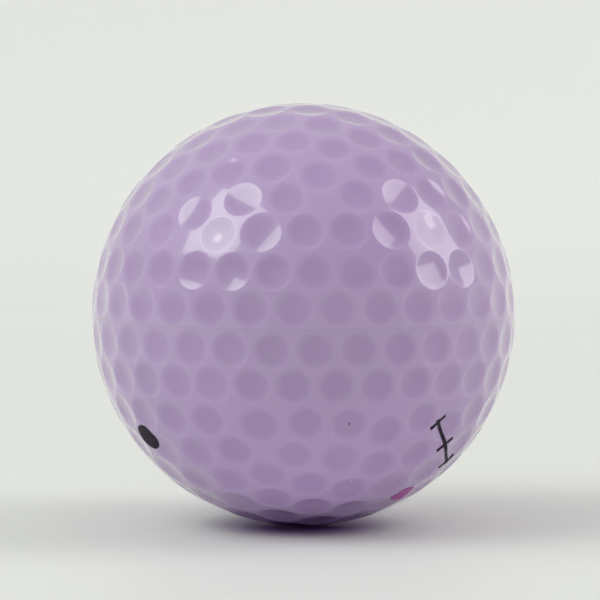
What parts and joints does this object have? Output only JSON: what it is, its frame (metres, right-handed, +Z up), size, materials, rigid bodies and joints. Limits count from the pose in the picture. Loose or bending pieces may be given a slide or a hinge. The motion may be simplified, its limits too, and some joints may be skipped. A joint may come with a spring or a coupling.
{
  "type": "golf ball",
  "caption": "Dimpled three-layer golf ball with a solid core, a mantle, a glossy two-half cover and small printed marks.",
  "frame": {"origin": "centre of the ball", "axes": "+Z up through the upper pole, at right angles to the parting line, which lies in the XY plane; the marks face -Y"},
  "size_m": [0.0426, 0.0426, 0.0426],
  "materials": {
    "core": "matt moulded polybutadiene rubber",
    "mantle": "satin moulded ionomer",
    "cover": "glossy, slightly milky lavender ionomer under clear lacquer",
    "black_ink": "black pad-printing ink",
    "pink_ink": "pink pad-printing ink"
  },
  "bodies": {
    "root": {"core": "core", "mantle_upper": "mantle", "mantle_lower": "mantle", "cover_upper": "cover", "cover_lower": "cover", "sight_dot": "black_ink", "alignment_line": "black_ink", "colour_dot": "pink_ink"}
  },
  "joints": []
}
